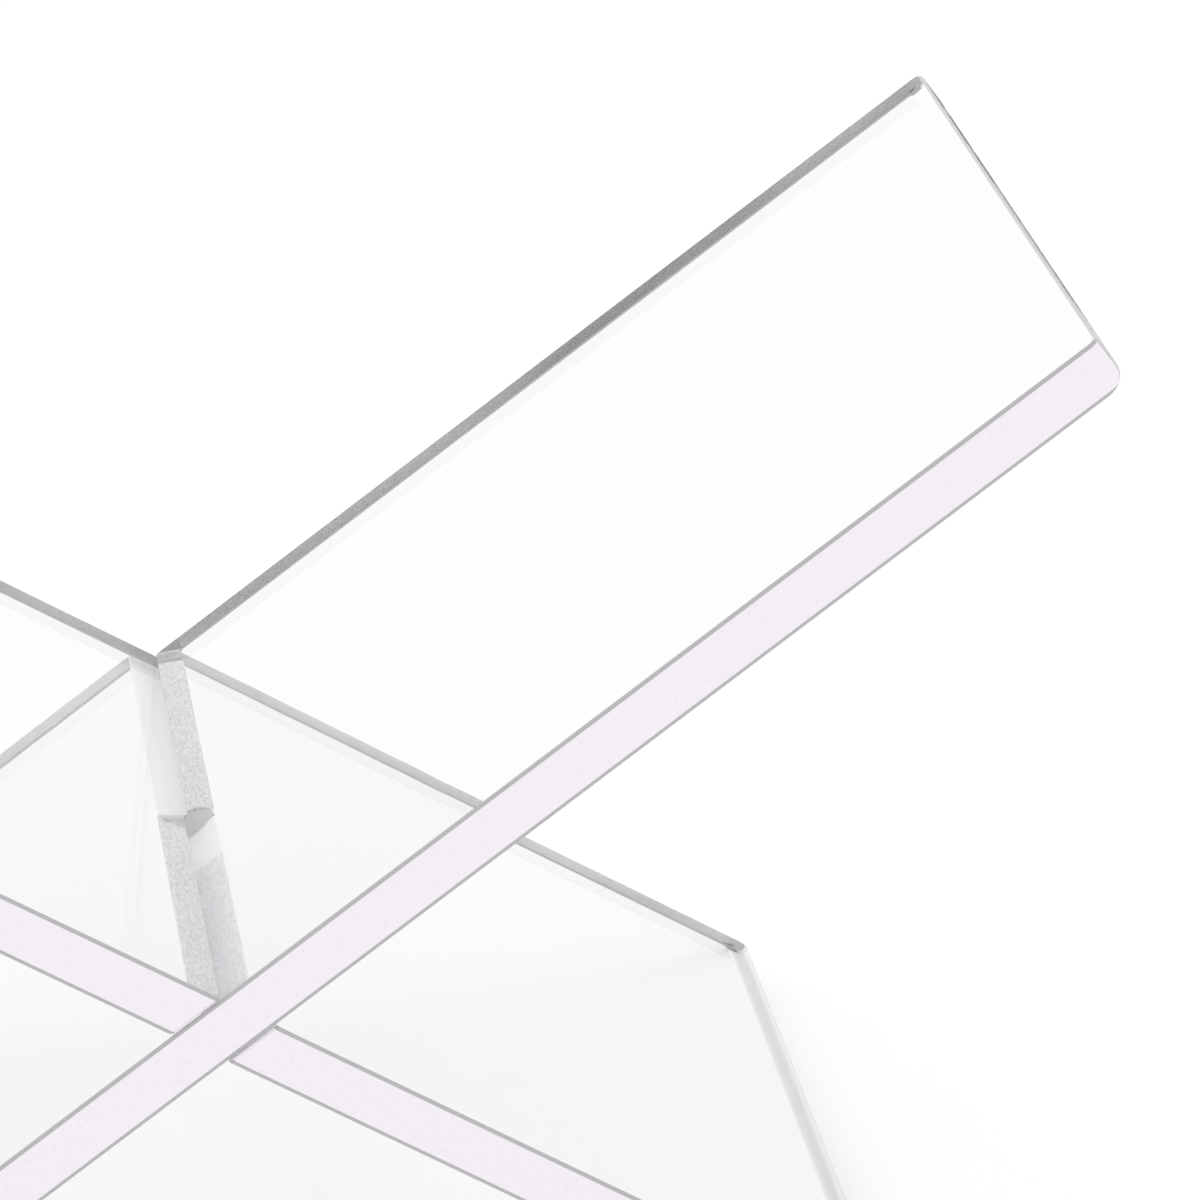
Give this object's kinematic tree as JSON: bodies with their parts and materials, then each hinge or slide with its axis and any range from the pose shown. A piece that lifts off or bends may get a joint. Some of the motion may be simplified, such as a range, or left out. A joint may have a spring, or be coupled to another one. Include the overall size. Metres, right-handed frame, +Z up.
{
  "type": "magazine rack",
  "caption": "Clear acrylic rack of crossed flat sheets that interlock in slots and hold magazines or an open book in the V on top.",
  "frame": {"origin": "on the table, under the middle of the crossing", "axes": "+Z up; +X to the right, across the cradle and along the longest side; +Y along the crossing, from the front edges to the rear edges"},
  "size_m": [0.4006, 0.24, 0.2262],
  "materials": {
    "clear_acrylic": "polished"
  },
  "bodies": {
    "right_rising_sheet": {"right_rising_sheet": "clear_acrylic"},
    "left_rising_sheet": {"left_rising_sheet": "clear_acrylic"}
  },
  "joints": [
    {"name": "slot_slide", "type": "slide", "parent": "right_rising_sheet", "child": "left_rising_sheet", "axis": [0, 1, 0], "range_m": [0, 0.12]}
  ]
}
